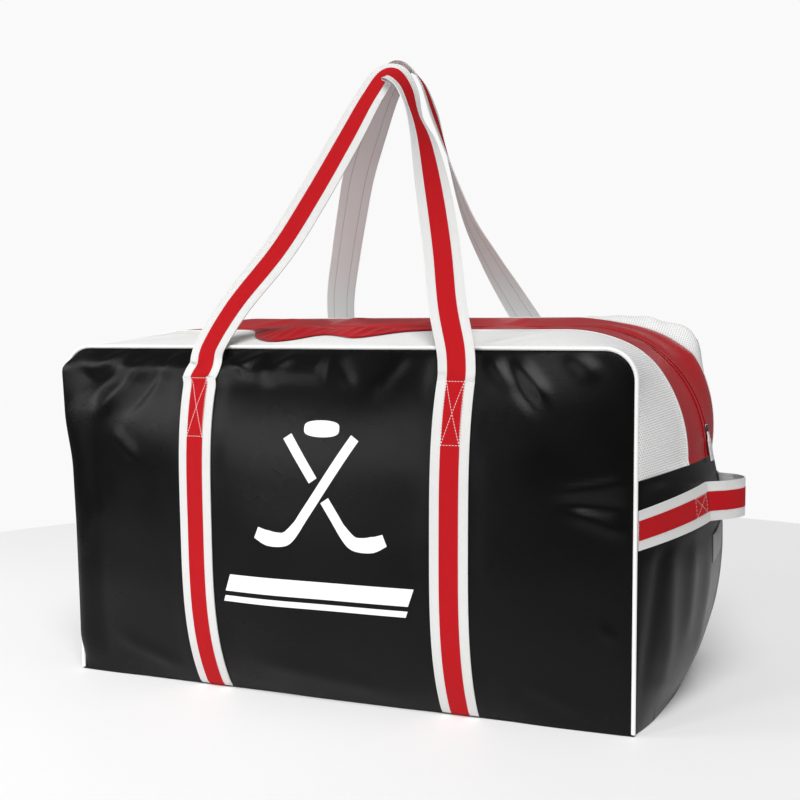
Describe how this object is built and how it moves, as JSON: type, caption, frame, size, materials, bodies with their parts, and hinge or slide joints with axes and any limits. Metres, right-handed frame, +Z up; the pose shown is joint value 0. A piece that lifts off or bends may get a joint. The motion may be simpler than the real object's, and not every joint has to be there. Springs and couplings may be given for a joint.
{
  "type": "hockey equipment bag",
  "caption": "Large soft-sided box bag for hockey gear, standing, with raised webbing carry handles, end grab handles, piped edges, mesh gussets and a zipped top that folds open.",
  "frame": {"origin": "centre of the base on the floor, under the middle of the bag's box", "axes": "+X along the bag's length to the right end, +Y from the front panel to the back panel, +Z up"},
  "size_m": [1.0298, 0.5698, 0.9116],
  "materials": {
    "black_vinyl": "coated bag fabric, soft satin with a faint grain",
    "red_vinyl": "coated bag fabric, satin to glossy",
    "white_mesh": "coated polyester mesh with fine holes",
    "white_webbing": "woven webbing",
    "red_webbing": "woven webbing, sewn on",
    "white_cord": "vinyl piping cord",
    "zip_tape": "woven zip tape with a nylon coil",
    "zip_metal": "dark plated slider",
    "grey_label": "plain rubbery label",
    "board": "fibre board covered in black fabric"
  },
  "bodies": {
    "bag": {"back_panel": "black_vinyl", "back_piping": "white_cord", "base_board": "board", "base_panel": "black_vinyl", "end_label": "grey_label", "end_panel_left": "black_vinyl", "end_panel_right": "black_vinyl", "front_panel": "black_vinyl", "front_piping": "white_cord", "grab_left_back": "white_webbing", "grab_left_front": "white_webbing", "grab_right_back": "white_webbing", "grab_right_front": "white_webbing", "grab_stripe_left_back": "red_webbing", "grab_stripe_left_front": "red_webbing", "grab_stripe_right_back": "red_webbing", "grab_stripe_right_front": "red_webbing", "mesh_back": "white_mesh", "mesh_front": "white_mesh", "red_back_left": "red_vinyl", "red_back_right": "red_vinyl", "red_front_left": "red_vinyl", "red_front_right": "red_vinyl", "strap_back_left": "white_webbing", "strap_back_right": "white_webbing", "strap_base_left": "white_webbing", "strap_base_right": "white_webbing", "strap_front_left": "white_webbing", "strap_front_right": "white_webbing", "stripe_back_left": "red_webbing", "stripe_back_right": "red_webbing", "stripe_base_left": "red_webbing", "stripe_base_right": "red_webbing", "stripe_front_left": "red_webbing", "stripe_front_right": "red_webbing", "zip_back_left": "zip_tape", "zip_back_right": "zip_tape", "zip_front_left": "zip_tape", "zip_front_right": "zip_tape"},
    "front_handle": {"front_handle": "white_webbing", "front_handle_stripe": "red_webbing"},
    "back_handle": {"back_handle": "white_webbing", "back_handle_stripe": "red_webbing"},
    "front_flap": {"red_front_flap": "red_vinyl", "zip_front_flap": "zip_tape"},
    "back_flap": {"red_back_flap": "red_vinyl", "zip_back_flap": "zip_tape"},
    "slider_left": {"zip_slider_left": "zip_metal"},
    "slider_right": {"zip_slider_right": "zip_metal"},
    "pull_left": {"zip_pull_left": "white_webbing"},
    "pull_right": {"zip_pull_right": "white_webbing"},
    "grab_left": {"grab_left_loop": "white_webbing", "grab_stripe_left_loop": "red_webbing"},
    "grab_right": {"grab_right_loop": "white_webbing", "grab_stripe_right_loop": "red_webbing"}
  },
  "joints": [
    {"name": "front_handle_hinge", "type": "hinge", "parent": "bag", "child": "front_handle", "pos_m": [0, -0.2578, 0.44], "axis": [1, 0, 0], "range_deg": [0, 175]},
    {"name": "back_handle_hinge", "type": "hinge", "parent": "bag", "child": "back_handle", "pos_m": [0, 0.2578, 0.44], "axis": [-1, 0, 0], "range_deg": [0, 173]},
    {"name": "front_flap_fold", "type": "hinge", "parent": "bag", "child": "front_flap", "pos_m": [0, -0.10994, 0.50324], "axis": [1, 0, 0], "range_deg": [0, 110]},
    {"name": "back_flap_fold", "type": "hinge", "parent": "bag", "child": "back_flap", "pos_m": [0, 0.10994, 0.52314], "axis": [-1, 0, 0], "range_deg": [0, 110]},
    {"name": "slider_left_travel", "type": "hinge", "parent": "bag", "child": "slider_left", "pos_m": [-0.292, 0, 0.338], "axis": [0, 1, 0], "range_deg": [0, 68]},
    {"name": "slider_right_travel", "type": "hinge", "parent": "bag", "child": "slider_right", "pos_m": [0.292, 0, 0.338], "axis": [0, -1, 0], "range_deg": [0, 68]},
    {"name": "pull_left_swing", "type": "hinge", "parent": "slider_left", "child": "pull_left", "pos_m": [-0.46404, 0, 0.36172], "axis": [0, 1, 0], "range_deg": [0, 140]},
    {"name": "pull_right_swing", "type": "hinge", "parent": "slider_right", "child": "pull_right", "pos_m": [0.46404, 0, 0.36172], "axis": [0, -1, 0], "range_deg": [0, 140]},
    {"name": "grab_left_swing", "type": "hinge", "parent": "bag", "child": "grab_left", "pos_m": [-0.4925, 0, 0.2762], "axis": [0, 1, 0], "range_deg": [-35, 35]},
    {"name": "grab_right_swing", "type": "hinge", "parent": "bag", "child": "grab_right", "pos_m": [0.4925, 0, 0.2762], "axis": [0, -1, 0], "range_deg": [-35, 35]}
  ]
}
